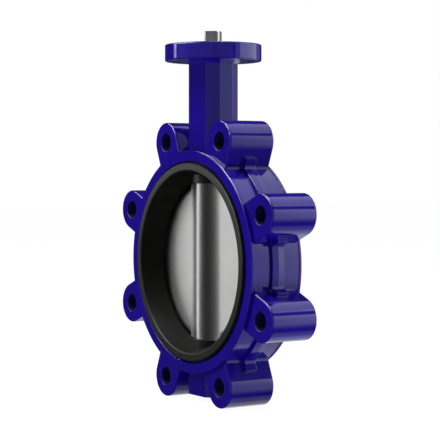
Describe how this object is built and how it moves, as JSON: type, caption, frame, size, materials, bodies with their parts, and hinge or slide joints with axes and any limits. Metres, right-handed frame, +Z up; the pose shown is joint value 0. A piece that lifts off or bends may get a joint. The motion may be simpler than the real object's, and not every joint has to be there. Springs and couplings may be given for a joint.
{
  "type": "lug butterfly valve",
  "caption": "Rubber-lined lug butterfly valve: a disc on two stems turns a quarter turn in a ring body with tapped lugs, a tall neck and a round actuator flange.",
  "frame": {"origin": "centre of the waterway, on the axis of the pipe and of the stems", "axes": "+Z up along the stem to the actuator flange; the pipe runs along Y with the front face towards -Y; +X completes the frame"},
  "size_m": [0.2594, 0.09, 0.3436],
  "materials": {
    "body_paint": "semi-gloss blue epoxy coat on cast iron",
    "liner_rubber": "moulded black rubber",
    "disc_steel": "satin stainless steel",
    "stem_steel": "turned stainless steel",
    "plug_steel": "zinc plated steel",
    "bush_bronze": "machined bronze",
    "acetal": "matte white",
    "seal_rubber": "moulded black rubber",
    "spring_steel": "phosphated spring steel"
  },
  "bodies": {
    "valve_body": {"body": "body_paint", "liner": "liner_rubber", "stem_wiper": "seal_rubber", "retaining_ring": "spring_steel", "thrust_washer": "bush_bronze", "top_bush": "bush_bronze", "gland_bush": "acetal", "gland_inner_o_ring": "seal_rubber", "gland_outer_o_ring": "seal_rubber", "neck_bush": "bush_bronze", "trunnion_bush": "bush_bronze", "thrust_pad": "acetal", "bottom_plug": "plug_steel", "plug_o_ring": "seal_rubber"},
    "disc_assembly": {"disc": "disc_steel", "upper_stem": "stem_steel", "lower_stem": "stem_steel", "split_ring": "stem_steel", "stem_o_ring": "seal_rubber", "trunnion_o_ring": "seal_rubber", "disc_o_rings": "seal_rubber"}
  },
  "joints": [
    {"name": "disc_turn", "type": "hinge", "parent": "valve_body", "child": "disc_assembly", "pos_m": [0, 0, 0], "axis": [0, 0, 1], "range_deg": [0, 90]}
  ]
}
